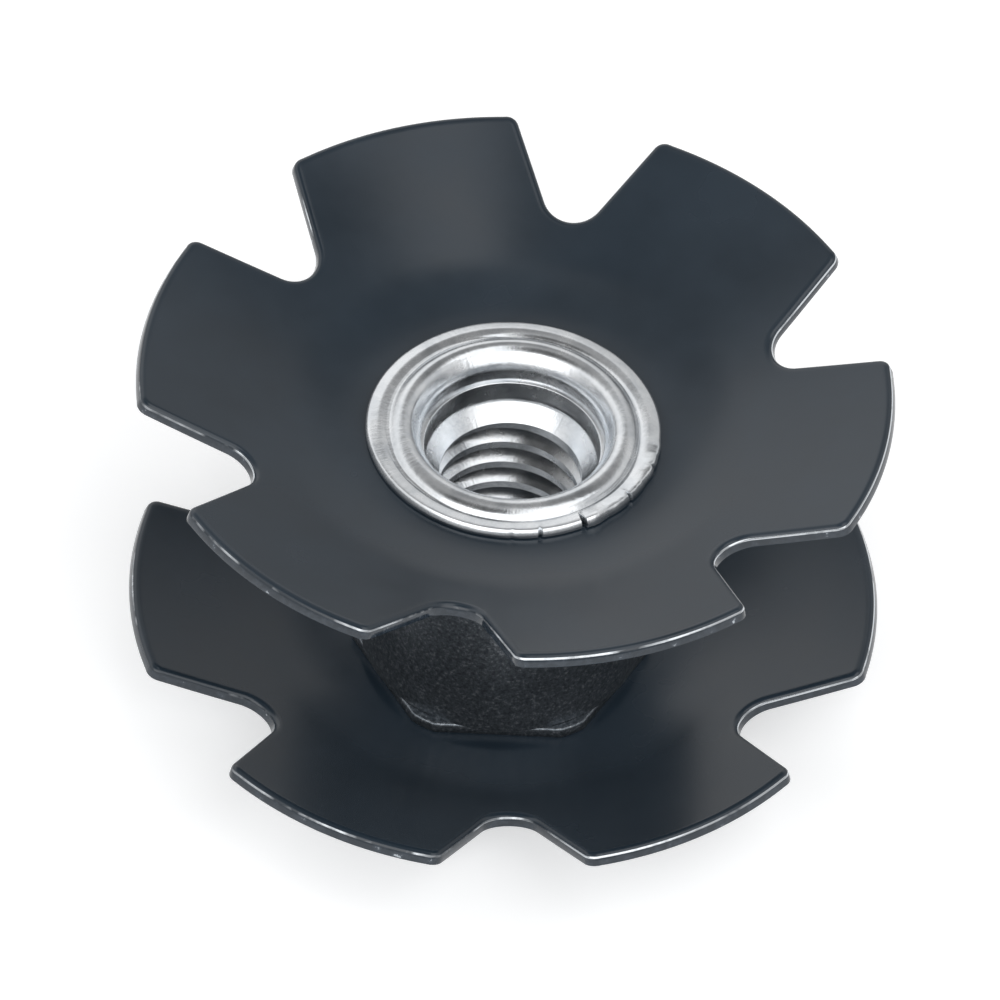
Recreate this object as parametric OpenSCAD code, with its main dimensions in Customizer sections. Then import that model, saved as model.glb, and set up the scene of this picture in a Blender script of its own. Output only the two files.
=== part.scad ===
// Star nut: two dished star washers clamped over a spacer by a threaded tube.
// It is driven down a tube with its teeth trailing upwards, and a bolt from above pulls them tight.
// The origin is the centre of the flat foot, and the bolt axis is +Z.

/* [Star washers] */
// Diameter over the tips of the teeth
star_d = 26.4; // [24:0.1:32]
// Number of teeth on each washer
tooth_count = 6; // [5:1:7]
// Thickness of the spring steel sheet
sheet_t = 0.5; // [0.4:0.05:0.8]
// Reach of the flat seat round the hub beyond the spacer
hub_reach = 0.5; // [0.5:0.05:1]
// Angle that the teeth rise at
dish_angle = 23; // [14:1:30]
// Inside radius of the bend between the hub and the teeth
bend_r = 6.6; // [4:0.1:8]
// Depth of a notch, measured along the tooth
notch_depth = 3.8; // [3:0.1:4.5]
// Angle between the two sides of a notch
notch_angle = 58; // [45:1:62]
// Radius of the root of a notch
notch_root_r = 1.3; // [0.9:0.05:1.4]
// Radius of the corners of a tooth
tooth_corner_r = 0.45; // [0.3:0.05:0.6]
// Radius that the punch rolled over along the upper edge of the rim
edge_r = 0.2; // [0.1:0.05:0.3]
// Turn of the upper washer about the bolt axis, to the middle of a notch
upper_turn = 21; // [0:1:60]
// Turn of the lower washer about the bolt axis, to the middle of a notch
lower_turn = 34; // [0:1:60]

/* [Spacer] */
// Height of the spacer between the two washers
spacer_h = 9.9; // [6:0.1:14]
// Thickness of the wall of the round body
spacer_wall = 1; // [0.8:0.05:1.2]
// Distance that the flats of the hexagonal lip stand in from the body
lip_flat_inset = 0.1; // [0.05:0.05:0.25]
// Reach of the blunted corners of the lip beyond the body
lip_corner_reach = 0.3; // [0.15:0.05:0.45]
// Thickness of the lip
lip_t = 0.45; // [0.3:0.05:1]
// Turn of the lip about the bolt axis, to one corner
lip_turn = 1; // [0:1:60]

/* [Threaded insert] */
// Nominal diameter of the metric thread
thread_d = 6; // [5:1:6]
// Pitch of the thread
thread_pitch = 1; // [0.8:0.05:1]
// Wall of the tube that the other pieces sit on, outside the thread
tube_wall = 0.95; // [0.9:0.05:1.1]
// Reach of the flange that is flared over the upper washer beyond the tube
flange_reach = 1.2; // [1:0.05:1.3]
// Thickness of the flange
flange_t = 0.3; // [0.25:0.05:0.5]
// Distance from the outside of the tube in to the middle of the round crown
crown_inset = 0.05; // [0:0.05:0.2]
// Radius of the crown's round section
crown_r = 0.5; // [0.4:0.05:0.55]
// Height of the crown over the flange
crown_rise = 0.22; // [0.15:0.01:0.4]
// Depth of the groove between the crown and the flange
groove_depth = 0.06; // [0.02:0.01:0.1]
// Width of the groove
groove_w = 0.15; // [0.1:0.05:0.25]
// Gap all round between the plain throat and the thread's own diameter
throat_gap = 0.075; // [0.05:0.025:0.15]
// Width of the ledge round the top of the throat
ledge_w = 0.12; // [0.05:0.01:0.15]
// Depth of the ledge under the flange
ledge_depth = 1; // [0.8:0.05:1.4]
// Depth of the bottom of the throat under the flange
throat_depth = 1.85; // [1.6:0.05:3]
// Reach of the round foot under the lower washer beyond the tube
foot_reach = 1.2; // [0.8:0.05:1.35]
// Thickness of the foot
foot_t = 0.7; // [0.6:0.05:1.2]
// Width of the bevels round the foot and the lower mouth of the thread
foot_bevel = 0.25; // [0.1:0.05:0.4]

/* [Fits] */
// Gap all round between the tube and the pieces that sit on it
fit_gap = 0.05; // [0.02:0.01:0.1]

/* [Hidden] */
$fn = 96;
arc_steps = 10;                       // flats in each round stretch of a section

// Every radius follows from the thread outwards.
tube_r = thread_d / 2 + tube_wall;
hub_hole_r = tube_r + fit_gap;        // hole through the washers and the spacer
spacer_r = hub_hole_r + spacer_wall;
hub_flat_r = spacer_r + hub_reach;
flange_r = tube_r + flange_reach;
foot_r = tube_r + foot_reach;

// The stack from the foot up
lower_washer_z = foot_t;
spacer_z = lower_washer_z + sheet_t;
upper_washer_z = spacer_z + spacer_h;
seat_z = upper_washer_z + sheet_t;
flange_z = seat_z + flange_t;

// The sheet bends up about a centre that stands over the edge of the flat hub, then runs straight.
under_bend_r = bend_r + sheet_t;
bend_centre = [hub_flat_r, under_bend_r];
bend_end_r = hub_flat_r + under_bend_r * sin(dish_angle);
slope_len = (star_d / 2 - bend_end_r) / cos(dish_angle);
rim_z = under_bend_r * (1 - cos(dish_angle)) + slope_len * sin(dish_angle);

// The notch is drawn flat on the tooth: x runs outwards along the slope and is 0 at the rim.
half_angle = notch_angle / 2;
root_x = notch_root_r - notch_depth;
root_hold = 0.98;                     // below 1 the sides cross the round root cleanly
side_from = [root_x, 0] + polar(root_hold * notch_root_r, 90 + half_angle);
mouth_x = 1;
mouth_y = side_from.y + (mouth_x - side_from.x) * tan(half_angle);

// A corner of the tooth is where a side of the notch meets the rim, which runs as x = -rim_curve * y^2.
rim_curve = cos(dish_angle) / star_d;
side_y0 = side_from.y - side_from.x * tan(half_angle);
corner_y = (sqrt(1 + 4 * rim_curve * tan(half_angle) * side_y0) - 1) / (2 * rim_curve * tan(half_angle));
corner = [-rim_curve * corner_y * corner_y, corner_y];
rim_lean = atan(2 * rim_curve * corner_y);
bisector = 135 + (half_angle + rim_lean) / 2;
corner_hold = 0.94;                   // below 1 the arc crosses the side and the rim cleanly
corner_inset = corner_hold * tooth_corner_r / sin(45 + (half_angle - rim_lean) / 2);
corner_centre = corner + polar(corner_inset, bisector);
bite = 1.3 * tooth_corner_r;          // reach of the cutter that rounds a corner

function polar(radius, angle) = radius * [cos(angle), sin(angle)];
function arc(centre, radius, from, to) =
    [for (i = [0 : arc_steps]) centre + polar(radius, from + (to - from) * i / arc_steps)];

// Section of the dished sheet, with its underside at the hub on the x axis
module dish_section() {
    rim_foot = [star_d / 2, rim_z];
    roll_centre = rim_foot + polar(sheet_t - edge_r, dish_angle + 90) - polar(edge_r, dish_angle);
    polygon(concat(
        [[hub_hole_r, 0]],
        arc(bend_centre, under_bend_r, -90, dish_angle - 90),
        [rim_foot],
        arc(roll_centre, edge_r, dish_angle, dish_angle + 90),
        arc(bend_centre, bend_r, dish_angle - 90, -90),
        [[hub_hole_r, sheet_t]]
    ));
}

// Sharp tip of a tooth beyond the arc that rounds its corner
module corner_bite() {
    difference() {
        polygon([
            corner_centre,
            corner_centre + polar(bite, half_angle - 90),
            corner - polar(bite, bisector),
            corner_centre + polar(bite, rim_lean)
        ]);
        translate(corner_centre) circle(tooth_corner_r);
    }
}

// Outline of one notch, open past the rim, with the tips that the two corners lose
module notch_outline() {
    translate([root_x, 0]) circle(notch_root_r);
    polygon([
        [root_x, 0],
        side_from,
        [mouth_x, mouth_y],
        [mouth_x, -mouth_y],
        [side_from.x, -side_from.y]
    ]);
    corner_bite();
    mirror([0, 1]) corner_bite();
}

// One washer: a dished sheet with notches punched square to the sheet
module star_washer(turn) {
    difference() {
        rotate_extrude() dish_section();
        for (i = [0 : tooth_count - 1])
            rotate(turn + 360 * i / tooth_count)
                translate([star_d / 2, 0, rim_z]) rotate([0, -dish_angle, 0])
                    translate([0, 0, -sheet_t]) linear_extrude(3 * sheet_t) notch_outline();
    }
}

module upper_star_washer() {
    color("#3a4147") translate([0, 0, upper_washer_z]) star_washer(upper_turn);
}

module lower_star_washer() {
    color("#3a4147") translate([0, 0, lower_washer_z]) star_washer(lower_turn);
}

// Round body that stands on a thin hexagonal lip
module spacer_sleeve() {
    color("#2f3438") translate([0, 0, spacer_z]) difference() {
        union() {
            translate([0, 0, lip_t]) cylinder(h = spacer_h - lip_t, r = spacer_r);
            intersection() {
                rotate(lip_turn) cylinder(h = lip_t, r = (spacer_r - lip_flat_inset) / cos(30), $fn = 6);
                cylinder(h = lip_t, r = spacer_r + lip_corner_reach);
            }
        }
        translate([0, 0, -lip_t]) cylinder(h = spacer_h + 2 * lip_t, r = hub_hole_r);
    }
}

// Tube with a foot below, and above it a mouth that is flared into a flange and a round crown
module threaded_insert() {
    minor_r = (thread_d - thread_pitch) / 2;
    crown = [tube_r - crown_inset, flange_z + crown_rise - crown_r];
    crown_from = asin((crown_r - crown_rise - groove_depth) / crown_r);
    groove_r = crown.x + crown_r * cos(crown_from);
    throat_r = thread_d / 2 + throat_gap;
    throat_z = flange_z - throat_depth;
    color("#c9ccd0") rotate_extrude() polygon(concat(
        [
            [minor_r + foot_bevel, 0],
            [foot_r - foot_bevel, 0],
            [foot_r, foot_bevel],
            [foot_r, foot_t],
            [tube_r, foot_t],
            [tube_r, seat_z]
        ],
        arc([flange_r - flange_t / 2, seat_z + flange_t / 2], flange_t / 2, -90, 90),
        [[groove_r + groove_w, flange_z]],
        arc(crown, crown_r, crown_from, 180),
        [
            [throat_r + ledge_w, flange_z - ledge_depth],
            [throat_r, flange_z - ledge_depth],
            [throat_r, throat_z],
            [minor_r, throat_z - (throat_r - minor_r)],
            [minor_r, foot_bevel]
        ]
    ));
}

upper_star_washer();
lower_star_washer();
spacer_sleeve();
threaded_insert();
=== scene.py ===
"""Star nut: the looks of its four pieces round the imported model, on a pale floor in soft light."""

import math

import bmesh
import bpy
from mathutils import Matrix, Vector, noise


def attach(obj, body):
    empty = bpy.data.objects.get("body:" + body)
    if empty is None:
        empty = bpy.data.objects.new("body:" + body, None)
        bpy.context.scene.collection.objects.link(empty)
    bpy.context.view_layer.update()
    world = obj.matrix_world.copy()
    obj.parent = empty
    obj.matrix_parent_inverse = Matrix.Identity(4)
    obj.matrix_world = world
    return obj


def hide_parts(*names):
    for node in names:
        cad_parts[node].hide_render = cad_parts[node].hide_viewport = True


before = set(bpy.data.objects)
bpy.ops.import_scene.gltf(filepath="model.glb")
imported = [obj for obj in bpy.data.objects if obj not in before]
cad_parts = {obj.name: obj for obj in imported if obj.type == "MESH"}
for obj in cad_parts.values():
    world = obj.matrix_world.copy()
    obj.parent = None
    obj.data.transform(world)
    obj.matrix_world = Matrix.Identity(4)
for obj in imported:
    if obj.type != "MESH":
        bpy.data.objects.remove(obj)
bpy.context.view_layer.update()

MM = 0.001

# ---- sizes in millimetres and angles in radians, as the model has them ----
SHEET = 0.5                     # thickness of the spring steel
STAR_R = 13.2                   # tips of the teeth
TEETH = 6
HALF_SECTOR = math.pi / TEETH   # from the middle of a tooth to the middle of the notch beside it
DISH = math.radians(23)         # slope of the teeth
BEND_UNDER_R = 7.1              # radius of the bend on the underside
HUB_FLAT_R = 5.5
HUB_HOLE_R = 4.0
NOTCH_DEPTH = 3.8               # measured along the tooth
NOTCH_HALF = math.radians(29)   # between a side of a notch and its middle
CORNER_R = 0.45
UPPER_TURN = math.radians(21)   # to the middle of a notch
LOWER_TURN = math.radians(34)

# The stack from the foot up
FOOT_T = 0.7
SPACER_Z = FOOT_T + SHEET
SPACER_H = 9.9
UPPER_Z = SPACER_Z + SPACER_H
SEAT_Z = UPPER_Z + SHEET
FLANGE_T = 0.3
FLANGE_Z = SEAT_Z + FLANGE_T

# ---- how finely a mesh is made, in millimetres ----
MERGE = 1e-4                    # points nearer than this are one point
SEAM = 1e-3                     # the same, where one tooth meets the next
LEVEL = 1e-5                    # points this near to a height are at that height
NEAR = 0.005                    # a limit that is drawn between rows of points clears a row by this
SHARP_EDGE = math.radians(40)   # faces that meet at more than this show a crease


# ---- small helpers ----
def polar(radius, angle):
    """A flat point at a radius and an angle in radians."""
    return Vector((radius * math.cos(angle), radius * math.sin(angle)))


def arc(centre, radius, first, last, steps):
    """Points of a round stretch of a section, angles in degrees."""
    angles = [math.radians(first + (last - first) * i / steps) for i in range(steps + 1)]
    return [Vector(centre) + polar(radius, angle) for angle in angles]


def smoothstep(low, high, value):
    """Rises from 0 at the low value to 1 at the high one, level at both ends."""
    share = min(max((value - low) / (high - low), 0.0), 1.0)
    return share * share * (3 - 2 * share)


def closed_wire(bm, section):
    """Draws a closed section of (radius, height) points beside the bolt axis."""
    verts = [bm.verts.new((radius, 0, height)) for radius, height in section]
    edges = [bm.edges.new(pair) for pair in zip(verts, verts[1:] + verts[:1])]
    return verts + edges


def turned(section, steps):
    """A closed section of (radius, height) points turned full circle about the bolt axis."""
    bm = bmesh.new()
    wire = closed_wire(bm, section)
    bmesh.ops.spin(bm, geom=wire, axis=(0, 0, 1), cent=(0, 0, 0), angle=2 * math.pi, steps=steps,
                   use_merge=True)
    return bm


def add_object(name, data):
    """Puts a new object of this mesh, light or camera into the scene."""
    made = bpy.data.objects.new(name, data)
    bpy.context.scene.collection.objects.link(made)
    return made


def finish_piece(name, bm, node_name, materials):
    """Turns a bmesh in millimetres into the piece that stands for a node."""
    bmesh.ops.remove_doubles(bm, verts=bm.verts, dist=MERGE)
    bmesh.ops.recalc_face_normals(bm, faces=bm.faces)
    bmesh.ops.scale(bm, vec=(MM, MM, MM), verts=bm.verts)
    for face in bm.faces:
        face.smooth = True
    for edge in bm.edges:
        edge.smooth = edge.calc_face_angle(0.0) < SHARP_EDGE
    mesh = bpy.data.meshes.new(name)
    bm.to_mesh(mesh)
    bm.free()
    for material in materials:
        mesh.materials.append(material)
    piece = add_object(name, mesh)
    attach(piece, "root")
    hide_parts(node_name)


# ---- materials ----
def linear(hex_colour):
    """sRGB hex to the linear colour that a shader takes."""
    values = [int(hex_colour[i:i + 2], 16) / 255 for i in (1, 3, 5)]
    return tuple(v / 12.92 if v <= 0.04045 else ((v + 0.055) / 1.055) ** 2.4 for v in values) + (1.0,)


def node(tree, kind, settings=None, values=None, links=None):
    """Adds a node, sets its properties and sockets, and joins its inputs to other sockets."""
    made = tree.nodes.new("ShaderNode" + kind)
    for key, value in (settings or {}).items():
        setattr(made, key, value)
    for key, value in (values or {}).items():
        made.inputs[key].default_value = value
    for key, socket in (links or {}).items():
        tree.links.new(socket, made.inputs[key])
    return made


def ramp(tree, factor, stops):
    """A colour ramp with the given (position, grey or hex colour) stops."""
    made = node(tree, "ValToRGB", links={"Fac": factor})
    elements = made.color_ramp.elements
    while len(elements) < len(stops):
        elements.new(0.5)
    for element, (position, colour) in zip(elements, stops):
        element.position = position
        element.color = linear(colour) if isinstance(colour, str) else (colour, colour, colour, 1.0)
    return made.outputs["Color"]


def new_material(name):
    """An empty material, its node tree, and the socket that gives a point's place on the piece."""
    material = bpy.data.materials.new(name)
    material.use_nodes = True
    tree = material.node_tree
    tree.nodes.clear()
    where = node(tree, "TexCoord").outputs["Object"]
    return material, tree, where


def give_surface(tree, values, links):
    """Ends a material with a principled surface."""
    surface = node(tree, "BsdfPrincipled", values=values, links=links)
    node(tree, "OutputMaterial", links={"Surface": surface.outputs["BSDF"]})


def coated_spring_steel():
    """Spring steel sheet under a thin dipped black coat: smooth, half glossy, a cold blue-black."""
    cloud_size = 4.0 * MM       # the coat ran a little thicker and thinner in patches this wide
    grain_size = 0.35 * MM      # the faint unevenness that the coat dried with
    material, tree, where = new_material("dipped_black_spring_steel")
    cloud = node(tree, "TexNoise", values={"Scale": 1 / cloud_size, "Detail": 3.0, "Roughness": 0.55},
                 links={"Vector": where}).outputs["Fac"]
    grain = node(tree, "TexNoise", values={"Scale": 1 / grain_size, "Detail": 4.0, "Roughness": 0.6},
                 links={"Vector": where}).outputs["Fac"]
    base = ramp(tree, cloud, [(0.3, "#202a33"), (0.7, "#27323c")])
    rough = ramp(tree, cloud, [(0.3, 0.20), (0.7, 0.28)])
    bump = node(tree, "Bump", values={"Strength": 0.06, "Distance": 0.02 * MM}, links={"Height": grain})
    give_surface(tree, {}, {"Base Color": base, "Roughness": rough, "Normal": bump.outputs["Normal"]})
    return material


def punched_wall():
    """The punched wall of the sheet under the same coat.

    It is glossier than the faces, with tiny bright specks where the coat is chipped.
    """
    chip_size = 0.45 * MM
    chips_from, bare_from = 0.64, 0.69      # where in the noise the coat thins out, and where it is gone
    material, tree, where = new_material("coated_punched_edge")
    bare_metal_factor = node(tree, "TexNoise", values={"Scale": 1 / chip_size, "Detail": 5.0, "Roughness": 0.65},
                links={"Vector": where}).outputs["Fac"]
    base = ramp(tree, bare_metal_factor, [(0.45, "#252d35"), (chips_from, "#353d46"), (bare_from, "#aab0b6")])
    bare = ramp(tree, bare_metal_factor, [(chips_from, 0.0), (bare_from, 1.0)])
    give_surface(tree, {"Roughness": 0.14}, {"Base Color": base, "Metallic": bare})
    return material


def painted_highlight_strip():
    """A painted highlight: the lowest strip of the rolled edge as bare steel in long stretches, a thin
    white line.
    """
    patch_size = 2.2 * MM
    coated_to, bare_from = 0.40, 0.56       # up to where the coat is whole, and from where it is gone
    lit_side_share = 0.24                        # how much more of the painted highlight line the +X side gets than the -X side, where the light catches the roll
    material, tree, where = new_material("rolled_edge_painted_highlight")
    patches = node(tree, "TexNoise", values={"Scale": 1 / patch_size, "Detail": 4.0, "Roughness": 0.6},
                   links={"Vector": where}).outputs["Fac"]
    side = node(tree, "SeparateXYZ", links={0: where}).outputs["X"]
    # The painted highlight line: noise broken into stretches, with more of the line on the +X side, where
    # the light catches the roll.
    bare_metal_factor = node(tree, "Math", {"operation": "MULTIPLY_ADD"}, {1: lit_side_share / (2 * STAR_R * MM)},
                {0: side, 2: patches}).outputs[0]
    base = ramp(tree, bare_metal_factor, [(coated_to, "#252d35"), (bare_from, "#c2c6ca")])
    bare = ramp(tree, bare_metal_factor, [(coated_to, 0.0), (bare_from, 1.0)])
    give_surface(tree, {"Roughness": 0.2}, {"Base Color": base, "Metallic": bare})
    return material


def blasted_black_steel():
    """Turned steel, blasted and so thinly blackened that grey steel shows through.

    It mirrors the black star round it as a dull, sparkling grain.
    """
    grain_size = 0.14 * MM      # width of the pits that the grit left
    material, tree, where = new_material("blasted_black_steel")
    grain = node(tree, "TexNoise", values={"Scale": 1 / grain_size, "Detail": 3.0, "Roughness": 0.75},
                 links={"Vector": where}).outputs["Fac"]
    base = ramp(tree, grain, [(0.35, "#555b61"), (0.57, "#787e84"), (0.71, "#b4b8bc")])
    bump = node(tree, "Bump", values={"Strength": 0.5, "Distance": 0.03 * MM}, links={"Height": grain})
    give_surface(tree, {"Metallic": 0.9, "Roughness": 0.36},
                 {"Base Color": base, "Normal": bump.outputs["Normal"]})
    return material


def zinc_plated_steel():
    """Turned steel with bright clear zinc: a cool white metal with fine marks from the flaring tool."""
    cloud_size = 1.2 * MM       # patches where the zinc is a little duller or brighter
    grain_size = 0.18 * MM      # the plating's own unevenness
    patch_size = 3.0 * MM       # the tool marked some parts of the flare and not others
    streaks_per_radian = 26.0
    material, tree, where = new_material("bright_zinc_plated_steel")
    cloud = node(tree, "TexNoise", values={"Scale": 1 / cloud_size, "Detail": 5.0, "Roughness": 0.6},
                 links={"Vector": where}).outputs["Fac"]
    grain = node(tree, "TexNoise", values={"Scale": 1 / grain_size, "Detail": 3.0, "Roughness": 0.6},
                 links={"Vector": where}).outputs["Fac"]
    base = ramp(tree, cloud, [(0.3, "#c3c7cb"), (0.7, "#e6e8ea")])
    rough = ramp(tree, cloud, [(0.3, 0.18), (0.7, 0.30)])
    # The streaks run out from the axis: they change along the bearing and hardly along the radius.
    flat = node(tree, "VectorMath", {"operation": "MULTIPLY"}, {1: (1, 1, 0)}, {0: where})
    bearing = node(tree, "VectorMath", {"operation": "NORMALIZE"}, links={0: flat.outputs["Vector"]})
    streak = node(tree, "TexNoise", values={"Scale": streaks_per_radian, "Detail": 3.0, "Roughness": 0.7},
                  links={"Vector": bearing.outputs["Vector"]}).outputs["Fac"]
    patch = node(tree, "TexNoise", values={"Scale": 1 / patch_size, "Detail": 2.0},
                 links={"Vector": where}).outputs["Fac"]
    marked = ramp(tree, patch, [(0.42, 0.05), (0.6, 1.0)])
    marks = node(tree, "Math", {"operation": "MULTIPLY"}, links={0: streak, 1: marked}).outputs[0]
    relief = node(tree, "Math", {"operation": "ADD"}, links={0: grain, 1: marks}).outputs[0]
    bump = node(tree, "Bump", values={"Strength": 0.3, "Distance": 0.02 * MM}, links={"Height": relief})
    give_surface(tree, {"Metallic": 1.0},
                 {"Base Color": base, "Roughness": rough, "Normal": bump.outputs["Normal"]})
    return material


# ---- star washers: a flat blank is punched, its edges roll over, and a die dishes it ----
ROOT_R = 1.12           # the solids have 1.3: each side of a notch stands 0.1 mm nearer its middle here
ROLLED_OVER = 0.2       # reach of the roll along the upper edge
BROKEN_EDGE = 0.06      # the same along the lower edge, which is hardly rounded

# Steps of the mesh along each stretch of half a tooth's edge, and rows from the hub to the edge
RIM_STEPS = 26
CORNER_STEPS = 8
SIDE_STEPS = 16
ROOT_STEPS = 14
ROWS = 22
EDGE_ROW = 0.3          # width of the last row, along the edge of the blank
SETTLED = 0.9           # share of the way out by which the rows have taken up the run of the edge
HUB_KEPT = 0.5          # edges within this of the hub's hole stay sharp

# How steeply a face of the flat blank looks up, as the rise of its normal
WALL_SLOPE = 0.5        # under this it is no part of the flat top or underside
STRIP_SLOPE_FROM, STRIP_SLOPE = 0.1, 0.3        # between these it is the lowest strip of the rolled edge

BEND_END_R = HUB_FLAT_R + BEND_UNDER_R * math.sin(DISH)     # where the bend ends once dished
BEND_END_REACH = HUB_FLAT_R + BEND_UNDER_R * DISH           # the same point on the flat blank

# The third of these paints the highlight line along the lowest strip of the rolled edge as bright bare
# steel.
STAR_MATERIALS = [coated_spring_steel(), punched_wall(), painted_highlight_strip()]
ON_WALL, ON_PAINTED_HIGHLIGHT = 1, 2        # their places in that list


def flat_reach(radius):
    """Distance from the axis along the sheet to a point that ends at this radius once dished."""
    if radius <= HUB_FLAT_R:
        return radius
    if radius <= BEND_END_R:
        return HUB_FLAT_R + BEND_UNDER_R * math.asin((radius - HUB_FLAT_R) / BEND_UNDER_R)
    return BEND_END_REACH + (radius - BEND_END_R) / math.cos(DISH)


def dished(point, base_z):
    """Where a point of the flat blank goes: it keeps its bearing and its height square to the sheet."""
    reach = math.hypot(point.x, point.y)
    bearing = math.atan2(point.y, point.x)
    lean = min(max((reach - HUB_FLAT_R) / BEND_UNDER_R, 0.0), DISH)
    beyond = max(reach - BEND_END_REACH, 0.0)
    radius = min(reach, HUB_FLAT_R) + BEND_UNDER_R * math.sin(lean) + beyond * math.cos(DISH)
    rise = BEND_UNDER_R * (1 - math.cos(lean)) + beyond * math.sin(DISH)
    radius -= point.z * math.sin(lean)
    rise += point.z * math.cos(lean)
    return Vector((radius * math.cos(bearing), radius * math.sin(bearing), base_z + rise))


def notch_to_plan(spot):
    """Plan of a point of the notch, given by its reach out from the rim along the slope and its offset.

    The tooth is part of a cone, so a point off the middle of the notch lies higher and further in.
    """
    middle_r = STAR_R + spot.x * math.cos(DISH)
    rise = spot.y * spot.y * math.sin(DISH) / (2 * middle_r)
    placed = Vector((middle_r - rise * math.sin(DISH), -spot.y))
    placed.rotate(Matrix.Rotation(HALF_SECTOR, 2))
    return placed


def tooth_outline():
    """Edge of half a tooth in plan, from the middle of its rim to the middle of the notch beside it."""
    root_x = ROOT_R - NOTCH_DEPTH
    root_end = Vector((root_x - ROOT_R * math.sin(NOTCH_HALF), ROOT_R * math.cos(NOTCH_HALF)))
    # A sharp tooth would end where the side of the notch meets the rim, which runs as x = -curve * y^2.
    lean = math.tan(NOTCH_HALF)
    curve = math.cos(DISH) / (2 * STAR_R)
    side_at_rim = root_end.y - root_end.x * lean
    tip_y = (math.sqrt(1 + 4 * curve * lean * side_at_rim) - 1) / (2 * curve * lean)
    tip = Vector((-curve * tip_y * tip_y, tip_y))
    # The corner is an arc that touches both.
    rim_lean = math.atan(2 * curve * tip_y)
    half_opening = (math.pi / 2 + NOTCH_HALF - rim_lean) / 2
    bisector = math.radians(135) + (NOTCH_HALF + rim_lean) / 2
    centre = tip + polar(CORNER_R / math.sin(half_opening), bisector)
    corner = arc(centre, CORNER_R, math.degrees(rim_lean), math.degrees(NOTCH_HALF) - 90, CORNER_STEPS)
    side = [corner[-1].lerp(root_end, i / SIDE_STEPS) for i in range(1, SIDE_STEPS)]
    root = arc((root_x, 0), ROOT_R, 90 + math.degrees(NOTCH_HALF), 180, ROOT_STEPS)
    edge = [notch_to_plan(spot) for spot in corner + side + root]
    rim_end = math.atan2(edge[0].y, edge[0].x)
    rim = [polar(STAR_R, rim_end * i / RIM_STEPS) for i in range(RIM_STEPS)]
    return rim + edge


def moved_in(outline, width):
    """The outline moved in by a width, square to its own run."""
    last = len(outline) - 1
    moved = []
    for i, spot in enumerate(outline):
        run = outline[min(i + 1, last)] - outline[max(i - 1, 0)]
        inward = Vector((-run.y, run.x)).normalized() if 0 < i < last else -spot.normalized()
        moved.append(spot + width * inward)
    return moved


def half_tooth():
    """A grid of faces laid out over half a tooth of the flat blank, from the hub's hole to the edge."""
    outline = [polar(flat_reach(spot.length), math.atan2(spot.y, spot.x)) for spot in tooth_outline()]
    inner = moved_in(outline, EDGE_ROW)
    across = len(outline) - 1
    half = 0.5          # the grid starts as a square with sides of 1
    bm = bmesh.new()
    bmesh.ops.create_grid(bm, x_segments=ROWS, y_segments=across, size=half)
    for vert in bm.verts:
        row = round((vert.co.x + half) * ROWS)
        step = round((vert.co.y + half) * across)
        if row == ROWS:
            vert.co = outline[step].to_3d()
            continue
        outward = row / (ROWS - 1)
        hub_bearing = HALF_SECTOR * step / across
        edge_bearing = math.atan2(inner[step].y, inner[step].x)
        bearing = hub_bearing + (edge_bearing - hub_bearing) * smoothstep(0, SETTLED, outward)
        reach = HUB_HOLE_R + (inner[step].length - HUB_HOLE_R) * outward
        vert.co = polar(reach, bearing).to_3d()
    return bm


def punched_blank():
    """The flat star: half a tooth is mirrored, turned round the axis and given its thickness."""
    bm = half_tooth()
    bmesh.ops.mirror(bm, geom=bm.verts[:] + bm.edges[:] + bm.faces[:], axis="Y", merge_dist=MERGE)
    for face in bm.faces:
        if face.normal.z < 0:
            face.normal_flip()
    bmesh.ops.remove_doubles(bm, verts=bm.verts, dist=MERGE)
    bmesh.ops.spin(bm, geom=bm.verts[:] + bm.edges[:] + bm.faces[:], axis=(0, 0, 1), cent=(0, 0, 0),
                   angle=2 * math.pi, steps=TEETH, use_duplicate=True)
    bmesh.ops.remove_doubles(bm, verts=bm.verts, dist=SEAM)
    bmesh.ops.recalc_face_normals(bm, faces=bm.faces)
    top = bmesh.ops.extrude_face_region(bm, geom=bm.faces[:])
    lifted = [part for part in top["geom"] if isinstance(part, bmesh.types.BMVert)]
    bmesh.ops.translate(bm, vec=(0, 0, SHEET), verts=lifted)
    bmesh.ops.recalc_face_normals(bm, faces=bm.faces)
    return bm


def off_the_hub(point):
    """Whether a point of the blank is clear of the hub's hole, which keeps its sharp edges."""
    return point.length > HUB_HOLE_R + HUB_KEPT


def round_edge(bm, height, reach, segments):
    """Rounds the outer edge of the blank at this height."""
    edges = [edge for edge in bm.edges
             if all(abs(vert.co.z - height) < LEVEL for vert in edge.verts)
             and any(abs(face.normal.z) < WALL_SLOPE for face in edge.link_faces)
             and off_the_hub(edge.verts[0].co)]
    bmesh.ops.bevel(bm, geom=edges, offset=reach, offset_type="OFFSET", segments=segments, profile=0.5,
                    affect="EDGES", material=-1)


def mark_edges(bm):
    """Gives the punched wall and the lowest strip of the rolled edge over it, which carries the painted
    highlight line, their own materials.
    """
    for face in bm.faces:
        if abs(face.normal.z) < STRIP_SLOPE and off_the_hub(face.calc_center_median()):
            face.material_index = ON_PAINTED_HIGHLIGHT if face.normal.z > STRIP_SLOPE_FROM else ON_WALL


def star_washer(name, node_name, base_z, turn):
    """One washer: a punched blank whose edges are rounded before it is dished."""
    bm = punched_blank()
    round_edge(bm, SHEET, ROLLED_OVER, segments=4)
    round_edge(bm, 0.0, BROKEN_EDGE, segments=2)
    mark_edges(bm)
    bmesh.ops.rotate(bm, matrix=Matrix.Rotation(turn + HALF_SECTOR, 3, "Z"), verts=bm.verts)
    for vert in bm.verts:
        vert.co = dished(vert.co, base_z)
    finish_piece(name, bm, node_name, STAR_MATERIALS)


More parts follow.
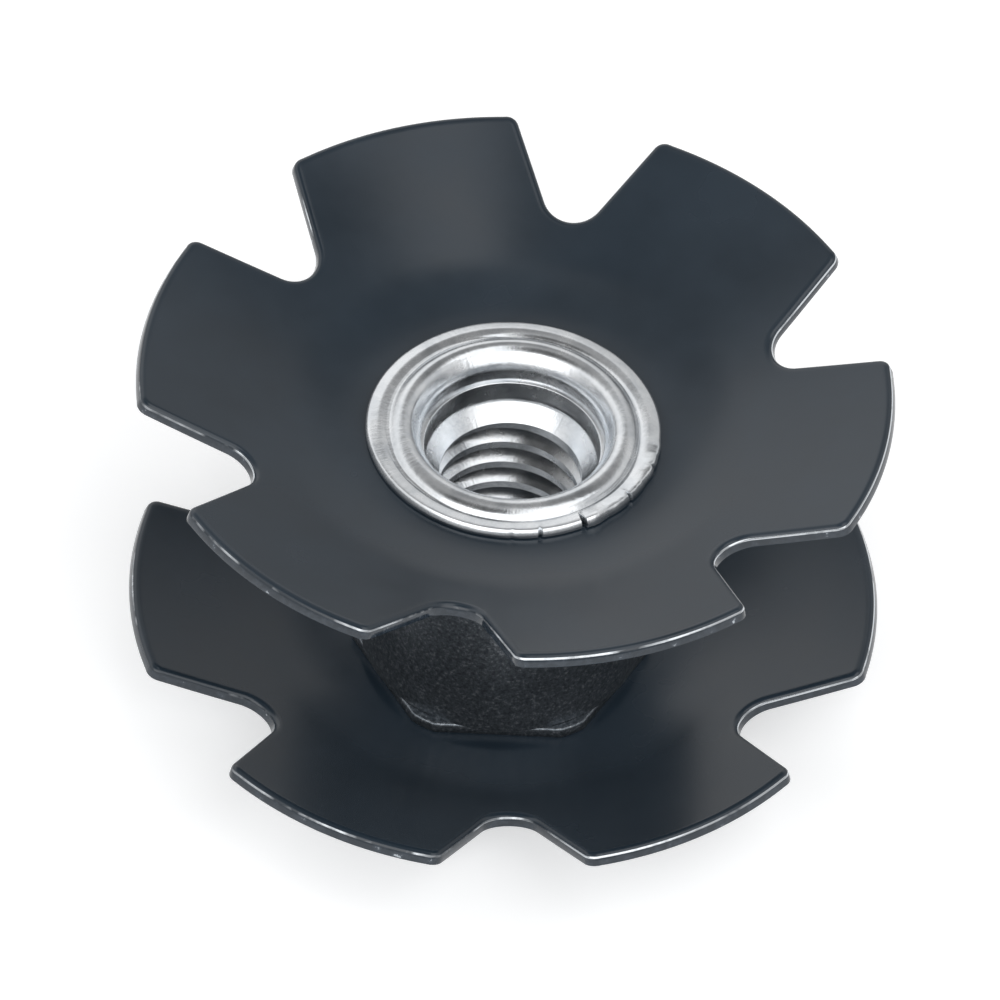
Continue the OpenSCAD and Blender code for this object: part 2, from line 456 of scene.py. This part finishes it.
# ---- spacer: a round body that stands on a thin hexagonal lip ----
SPACER_R = 5.0
SPACER_BEVEL = 0.1
LIP_T = 0.45
LIP_FLAT_R = 4.77       # from the axis to the middle of a flat
LIP_CORNER_R = 5.27     # from the axis to a blunted corner
LIP_TURN = math.radians(1)
LIP_ROUND = 0.1         # radius along the lip's upper edge
LIP_BEVEL_W, LIP_BEVEL_H = 0.04, 0.05   # bevel along its lower edge
BODY_ROUND = 0.05       # radius along the lower edge of the body, which overhangs the lip's flats
BODY_ROUND_RISE = 0.06  # height of that arc's middle over the lip
BODY_ROWS, BODY_ROW = 10, 0.9           # rows of faces up the body, and the height of one
SPACER_STEPS = 240      # faces round it


def hexagon_reach(bearing):
    """Distance from the axis to the side of the lip at a bearing in radians."""
    off_flat = (bearing - LIP_TURN) % (math.pi / 3) - math.pi / 6
    return min(LIP_FLAT_R / math.cos(off_flat), LIP_CORNER_R)


def spacer():
    """The spacer is turned with a round lip, which then takes its six sides."""
    top = SPACER_Z + SPACER_H
    lip = SPACER_Z + LIP_T
    section = [(HUB_HOLE_R, SPACER_Z), (LIP_FLAT_R - LIP_BEVEL_W, SPACER_Z)]
    section += [(LIP_FLAT_R, SPACER_Z + LIP_BEVEL_H)]
    section += arc((LIP_FLAT_R - LIP_ROUND, lip - LIP_ROUND), LIP_ROUND, 0, 90, steps=5)
    section += arc((SPACER_R - BODY_ROUND, lip + BODY_ROUND_RISE), BODY_ROUND, -80, 0, steps=3)
    section += [(SPACER_R, lip + BODY_ROW * i) for i in range(1, BODY_ROWS + 1)]
    section += [(SPACER_R, top - SPACER_BEVEL), (SPACER_R - SPACER_BEVEL, top), (HUB_HOLE_R, top)]
    bm = turned(section, SPACER_STEPS)
    for vert in bm.verts:
        radius = math.hypot(vert.co.x, vert.co.y)
        if radius < LIP_FLAT_R - LIP_ROUND - NEAR or vert.co.z > lip + NEAR:
            continue
        reach = hexagon_reach(math.atan2(vert.co.y, vert.co.x))
        vert.co.xy *= 1 + (reach - LIP_FLAT_R) / radius
    finish_piece("spacer", bm, "spacer_sleeve", [blasted_black_steel()])


# ---- threaded insert: turned and tapped, with its mouth flared over the upper washer ----
TUBE_R = 3.95
FOOT_R = 5.15
FOOT_BEVEL = 0.25
FLANGE_R = 5.15
SHOULDER_R = 0.16       # the flange slopes down to its outer edge and ends in a roll of this radius
SHOULDER_END = 72       # degrees up that roll where the slope starts
UNDER_BEVEL = 0.05      # bevel round the flange's underside
UNDER_INSET = 0.01      # and how far that stands in from the roll
CROWN_R = 3.9           # from the axis to the top of the crown
CROWN_SECTION_R = 0.5   # radius of the crown's round section
CROWN_END = 145         # degrees round that section where the wall of the bowl starts
CROWN_RISE = 0.22       # top of the crown over the flange
GROOVE_R = 4.37         # the groove between the crown and the flange
THREAD_R = 3.0
MINOR_R = 2.5
PITCH = 1.0
THREAD_FLANK = math.radians(30)
THREAD_TOP = 9.086      # where the tap's groove ends, just under the cone that leads into it
TAP_RUN = 1.4           # the cut starts this far under the foot
TAP_OVERLAP = 0.15      # and its section starts this far inside the bore
THROAT_R = 3.075
THROAT_ROUND = 0.04     # radius at the throat's upper edge
LEDGE_W = 0.12          # ledge round the top of the throat
LEDGE_DEPTH = 1.0       # depths are taken from the flange
THROAT_DEPTH = 1.85     # where the cone down to the thread starts
INSERT_STEPS = 360      # faces round it

# The mouth's section from outside in, as pairs of a radius and the rise over the flange
FLANGE_TOP = [(4.96, 0.021), (4.88, 0.040), (4.80, 0.058), (4.74, 0.070), (4.70, 0.073), (4.62, 0.064),
              (4.52, 0.038), (4.44, 0.01)]
GROOVE = [(4.40, -0.03), (GROOVE_R, -0.05), (4.33, -0.02)]
CROWN_OUTSIDE = [(4.28, 0.04), (4.20, 0.10), (4.10, 0.16), (4.00, 0.205)]
BOWL = [(3.35, -0.19), (3.27, -0.34), (3.22, -0.50), (3.20, -0.66)]
THROAT_END = [(THROAT_R, -1.68), (THROAT_R - 0.02, -1.78), (THROAT_R - 0.07, -1.88)]

# The flare wasn't struck square. Towards -Y the flange leans in and not out, and the groove is wider.
FRONT = -90             # bearing in degrees of the middle of that side
FRONT_FADE = (50, 95)   # degrees from there between which the change fades
# What the change adds to the height, as pairs of a radius and a rise
FRONT_RISE = [(4.24, 0.0), (4.33, -0.05), (4.37, -0.05), (4.44, -0.07), (4.50, -0.028), (4.62, -0.037),
              (4.70, -0.033), (4.80, -0.003), (4.88, 0.027), (4.96, 0.058), (5.04, 0.07), (5.15, 0.0)]
FRONT_SHIFT = 0.09      # the groove lies this much further out there
SHIFT_IN = (3.8, 4.15)  # radii between which the shift comes in
SHIFT_OUT = (4.44, 4.66)        # and between which it goes again

# The groove is pressed flat on one side.
PRESSED = 165           # bearing in degrees of the middle of that side
PRESSED_FADE = (35, 85)
PRESSED_FILL = 0.08
GROOVE_HALF_W = 0.09

# The rim split when it was flared, and beyond the split a ragged stretch of it stands a little proud.
RIM_CHANGE = (4.6, 5.0)         # radii between which the rim's changes come in
PROUD_FROM, PROUD_TO = -59, 2   # bearings in degrees
PROUD_START, PROUD_END = 1, 14  # degrees over which it comes in and goes
PROUD_REACH, PROUD_RISE = 0.07, 0.06
RAGGED = 0.05           # how much the reach varies along that stretch
OUT_OF_ROUND = 0.008    # how much the whole rim wanders
# Waves per degree of the wander, of the ragged stretch and of the tatters along it
WANDER_WAVES, RAGGED_WAVES, TATTER_WAVES = 0.05, 0.14, 0.7
TATTER_SHARE = 0.25
# Nicks in the rim, the split first: bearing in degrees, depth, half width in degrees
RIM_NICKS = [(-59, 0.36, 0.8), (-77, 0.12, 0.9), (-36, 0.16, 0.9), (-17, 0.10, 1.4), (-88, 0.04, 1.2)]


def degrees_off(bearing, middle):
    """Degrees between two bearings, the shorter way round."""
    return abs((bearing - middle + 180) % 360 - 180)


def profile_at(profile, radius):
    """Rise of a profile of (radius, rise) pairs at a radius, or 0 outside it."""
    for (inner, low), (outer, high) in zip(profile, profile[1:]):
        if inner <= radius < outer:
            return low + (high - low) * (radius - inner) / (outer - inner)
    return 0.0


def unevenness(bearing, waves, strand):
    """Smooth noise along the rim, between -1 and 1; each strand is a pattern of its own."""
    return noise.noise(Vector((bearing * waves, 0, strand)))


def lean_front(vert, radius, bearing):
    """Leans the flange in and moves the groove out on the side where the flare wasn't struck square."""
    front = 1 - smoothstep(*FRONT_FADE, degrees_off(bearing, FRONT))
    vert.co.z += front * profile_at(FRONT_RISE, radius)
    shift = front * FRONT_SHIFT * smoothstep(*SHIFT_IN, radius) * (1 - smoothstep(*SHIFT_OUT, radius))
    vert.co.xy *= 1 + shift / radius


def press_groove(vert, radius, bearing):
    """Fills the groove on the side where it is pressed flat."""
    pressed = 1 - smoothstep(*PRESSED_FADE, degrees_off(bearing, PRESSED))
    vert.co.z += PRESSED_FILL * pressed * max(1 - abs(radius - GROOVE_R) / GROOVE_HALF_W, 0)


def split_rim(vert, radius, bearing):
    """Splits and nicks the flange's rim and lets the stretch beyond the split stand proud."""
    share = smoothstep(*RIM_CHANGE, radius)
    change = OUT_OF_ROUND * unevenness(bearing, WANDER_WAVES, strand=0)
    if PROUD_FROM < bearing < PROUD_TO:
        proud = smoothstep(PROUD_FROM, PROUD_FROM + PROUD_START, bearing)
        proud *= 1 - smoothstep(PROUD_TO - PROUD_END, PROUD_TO, bearing)
        ragged = unevenness(bearing, RAGGED_WAVES, strand=5)
        ragged += TATTER_SHARE * unevenness(bearing, TATTER_WAVES, strand=9)
        change += proud * (PROUD_REACH + RAGGED * ragged)
        vert.co.z += share * proud * PROUD_RISE * (1 + ragged) * smoothstep(SEAT_Z, FLANGE_Z, vert.co.z)
    for middle, depth, half_width in RIM_NICKS:
        change -= depth * max(1 - abs(bearing - middle) / half_width, 0.0)
    vert.co.xy *= 1 + share * change / radius


def strike_flare(bm):
    """Moves the points of the turned flare to where the blow of the flaring tool left them."""
    for vert in bm.verts:
        radius = math.hypot(vert.co.x, vert.co.y)
        if radius < SHIFT_IN[0] or vert.co.z < SEAT_Z - NEAR:
            continue
        bearing = math.degrees(math.atan2(vert.co.y, vert.co.x))
        lean_front(vert, radius, bearing)
        press_groove(vert, radius, bearing)
        split_rim(vert, radius, bearing)


def tap_groove():
    """The groove that a right-hand M6 tap leaves, as a closed screw of trapezoid section."""
    steps_per_turn = 96
    inner = MINOR_R - TAP_OVERLAP
    half_root = PITCH / 16      # the root of a metric thread may be an eighth of the pitch wide
    half_mouth = half_root + (THREAD_R - inner) * math.tan(THREAD_FLANK)
    turns = (THREAD_TOP + TAP_RUN) / PITCH
    bm = bmesh.new()
    wire = closed_wire(bm, [(inner, -half_mouth - TAP_RUN), (THREAD_R, -half_root - TAP_RUN),
                            (THREAD_R, half_root - TAP_RUN), (inner, half_mouth - TAP_RUN)])
    bmesh.ops.spin(bm, geom=wire, axis=(0, 0, 1), cent=(0, 0, 0), dvec=(0, 0, PITCH / steps_per_turn),
                   angle=2 * math.pi * turns, steps=round(turns * steps_per_turn))
    bmesh.ops.holes_fill(bm, edges=[edge for edge in bm.edges if edge.is_boundary], sides=4)
    bmesh.ops.recalc_face_normals(bm, faces=bm.faces)
    return bm


def cut_away(bm, cutter):
    """Subtracts one closed bmesh from another and returns what is left."""
    blanks = []
    for name, shape in (("blank", bm), ("cutter", cutter)):
        mesh = bpy.data.meshes.new(name)
        shape.to_mesh(mesh)
        shape.free()
        blanks.append(add_object(name, mesh))
    cut = blanks[0].modifiers.new("cut", "BOOLEAN")
    cut.operation = "DIFFERENCE"
    cut.solver = "EXACT"
    cut.object = blanks[1]
    left = bmesh.new()
    left.from_object(blanks[0], bpy.context.evaluated_depsgraph_get())
    for blank in blanks:
        bpy.data.objects.remove(blank)
    return left


def over_flange(profile):
    """Section points of a profile of (radius, rise over the flange) pairs."""
    return [(radius, FLANGE_Z + rise) for radius, rise in profile]


def insert_section():
    """Closed section of the untapped insert, from the foot up the outside and down the bore."""
    under_r = FLANGE_R - UNDER_INSET
    crown_z = FLANGE_Z + CROWN_RISE - CROWN_SECTION_R
    ledge_z = FLANGE_Z - LEDGE_DEPTH
    cone_end_z = FLANGE_Z - THROAT_DEPTH - (THROAT_R - MINOR_R)
    section = [(MINOR_R + FOOT_BEVEL, 0), (FOOT_R - FOOT_BEVEL, 0), (FOOT_R, FOOT_BEVEL)]
    section += [(FOOT_R, FOOT_T), (TUBE_R, FOOT_T), (TUBE_R, SEAT_Z)]
    section += [(under_r - UNDER_BEVEL, SEAT_Z), (under_r, SEAT_Z + UNDER_BEVEL)]
    section += arc((FLANGE_R - SHOULDER_R, SEAT_Z + FLANGE_T / 2), SHOULDER_R, 0, SHOULDER_END, steps=8)
    section += over_flange(FLANGE_TOP + GROOVE + CROWN_OUTSIDE)
    section += arc((CROWN_R, crown_z), CROWN_SECTION_R, 90, CROWN_END, steps=12)
    section += over_flange(BOWL)
    section += [(THROAT_R + LEDGE_W, ledge_z)]
    section += arc((THROAT_R + THROAT_ROUND, ledge_z - THROAT_ROUND), THROAT_ROUND, 90, 180, steps=3)
    section += over_flange(THROAT_END)
    section += [(MINOR_R, cone_end_z), (MINOR_R, FOOT_BEVEL)]
    return section


def insert():
    """The insert is turned, its mouth is struck over the washer, and the thread is cut."""
    bm = turned(insert_section(), INSERT_STEPS)
    strike_flare(bm)
    bmesh.ops.recalc_face_normals(bm, faces=bm.faces)
    tapped = cut_away(bm, tap_groove())
    finish_piece("insert", tapped, "threaded_insert", [zinc_plated_steel()])


# ---- stage, light and camera, in metres ----
FLOOR_HALF = 3.0

ROOM_STRENGTH = 1.3
# How pale the room is from straight down (0) past the horizon (0.5) to straight up (1) ...
PALE_BY_HEIGHT = [(0.5, 0.5), (0.57, 0.55), (0.66, 0.85), (0.75, 0.95), (0.82, 1.0), (0.86, 0.5),
                  (0.914, 0.25), (0.97, 0.3), (1.0, 0.5)]
# ... and from the left (0) to the right (1)
PALE_BY_SIDE = [(0.0, 0.96), (0.25, 0.96), (0.42, 1.0), (0.5, 0.85), (0.585, 0.62), (0.75, 0.54),
                (1.0, 0.75)]
# A dark gap in the roof, in front and to the left, gives bright metal its dark reflections.
GAP_DIRECTION = (-0.265, -0.265, 0.927)
GAP_STARTS, GAP_FULL = 0.913, 0.966     # cosines of the angle from its middle
GAP_PALE = 0.2

VIEW_UP = math.radians(46.38)
VIEW_ROLL = math.radians(3.42)
VIEW_DISTANCE = 0.5
VIEW_LENS = 517.7       # focal length in millimetres for a sensor of this width
SENSOR_W = 36
AIM_RIGHT, AIM_UP = -0.470 * MM, -2.560 * MM    # what it aims at, from the axis at the flange's height


def white_paper():
    """Pale paper: it takes the object's shadow, and the eye and bright metal see it as nearly white."""
    material = bpy.data.materials.new("white_paper")
    material.use_nodes = True
    tree = material.node_tree
    tree.nodes.clear()
    paper = node(tree, "BsdfDiffuse", values={"Color": linear("#e8e9ea")})
    shown = node(tree, "Emission", values={"Color": linear("#ffffff"), "Strength": 0.45})
    path = node(tree, "LightPath")
    seen = node(tree, "Math", {"operation": "MAXIMUM"},
                links={0: path.outputs["Is Camera Ray"], 1: path.outputs["Is Glossy Ray"]})
    extra = node(tree, "MixShader", links={"Fac": seen.outputs[0], 2: shown.outputs[0]})
    total = node(tree, "AddShader", links={0: paper.outputs[0], 1: extra.outputs[0]})
    node(tree, "OutputMaterial", links={"Surface": total.outputs[0]})
    return material


def stage():
    """A wide flat floor at the height of the foot."""
    mesh = bpy.data.meshes.new("floor")
    bm = bmesh.new()
    bmesh.ops.create_grid(bm, x_segments=1, y_segments=1, size=FLOOR_HALF)
    bm.to_mesh(mesh)
    bm.free()
    mesh.materials.append(white_paper())
    floor = add_object("floor", mesh)


def lamp(name, place, target, size, power):
    """A soft rectangular lamp that looks from its place at the target."""
    data = bpy.data.lights.new(name, "AREA")
    data.shape = "RECTANGLE"
    data.size, data.size_y = size
    data.energy = power
    made = add_object(name, data)
    made.location = place
    made.rotation_mode = "QUATERNION"
    made.rotation_quaternion = (Vector(target) - Vector(place)).to_track_quat("-Z", "Y")


def room():
    """A tent of pale cloth: a bright band round its walls, brighter to the left, and a darker roof."""
    world = bpy.data.worlds.new("studio")
    bpy.context.scene.world = world
    world.use_nodes = True
    tree = world.node_tree
    tree.nodes.clear()
    gaze = node(tree, "TexCoord").outputs["Generated"]
    parts = node(tree, "SeparateXYZ", links={0: gaze})
    span = {"From Min": -1.0, "From Max": 1.0}
    height = node(tree, "MapRange", values=span, links={"Value": parts.outputs["Z"]}).outputs[0]
    across = node(tree, "MapRange", values=span, links={"Value": parts.outputs["X"]}).outputs[0]
    walls = ramp(tree, height, PALE_BY_HEIGHT)
    sides = ramp(tree, across, PALE_BY_SIDE)
    toward_gap = node(tree, "VectorMath", {"operation": "DOT_PRODUCT"}, {1: GAP_DIRECTION}, {0: gaze})
    gap = node(tree, "MapRange",
               values={"From Min": GAP_STARTS, "From Max": GAP_FULL, "To Min": 1.0, "To Max": GAP_PALE},
               links={"Value": toward_gap.outputs["Value"]}).outputs[0]
    cloth = node(tree, "VectorMath", {"operation": "MULTIPLY"}, links={0: walls, 1: sides})
    pale = node(tree, "VectorMath", {"operation": "SCALE"},
                links={0: cloth.outputs["Vector"], "Scale": gap}).outputs["Vector"]
    tent = node(tree, "Background", values={"Strength": ROOM_STRENGTH}, links={"Color": pale})
    white = node(tree, "Background", values={"Color": linear("#ffffff"), "Strength": 1.0})
    path = node(tree, "LightPath")
    mix = node(tree, "MixShader",
               links={"Fac": path.outputs["Is Camera Ray"], 1: tent.outputs[0], 2: white.outputs[0]})
    node(tree, "OutputWorld", links={"Surface": mix.outputs[0]})


def camera():
    """Looks down at the flange from the front, rolled a little."""
    forward = Vector((0, math.cos(VIEW_UP), -math.sin(VIEW_UP)))
    level = Vector((1, 0, 0))
    above = level.cross(forward)
    right = math.cos(VIEW_ROLL) * level + math.sin(VIEW_ROLL) * above
    up = math.cos(VIEW_ROLL) * above - math.sin(VIEW_ROLL) * level
    place = Vector((0, 0, FLANGE_Z * MM)) - VIEW_DISTANCE * forward + AIM_RIGHT * right + AIM_UP * up
    data = bpy.data.cameras.new("camera")
    data.lens = VIEW_LENS
    data.sensor_width = SENSOR_W
    made = add_object("camera", data)
    made.matrix_world = Matrix.Translation(place) @ Matrix((right, up, -forward)).transposed().to_4x4()
    bpy.context.scene.camera = made


# ---- the object and its stage ----
star_washer("upper_star", "upper_star_washer", UPPER_Z, UPPER_TURN)
star_washer("lower_star", "lower_star_washer", FOOT_T, LOWER_TURN)
spacer()
insert()
stage()
lamp("front", place=(0.0, -0.45, 0.27), target=(0, 0, 0.01), size=(1.15, 0.36), power=1.75)
lamp("over_right", place=(0.265, -0.20, 0.55), target=(0.265, -0.20, 0), size=(0.45, 0.5), power=1.0)
room()
camera()
bpy.context.scene.view_settings.view_transform = "Standard"
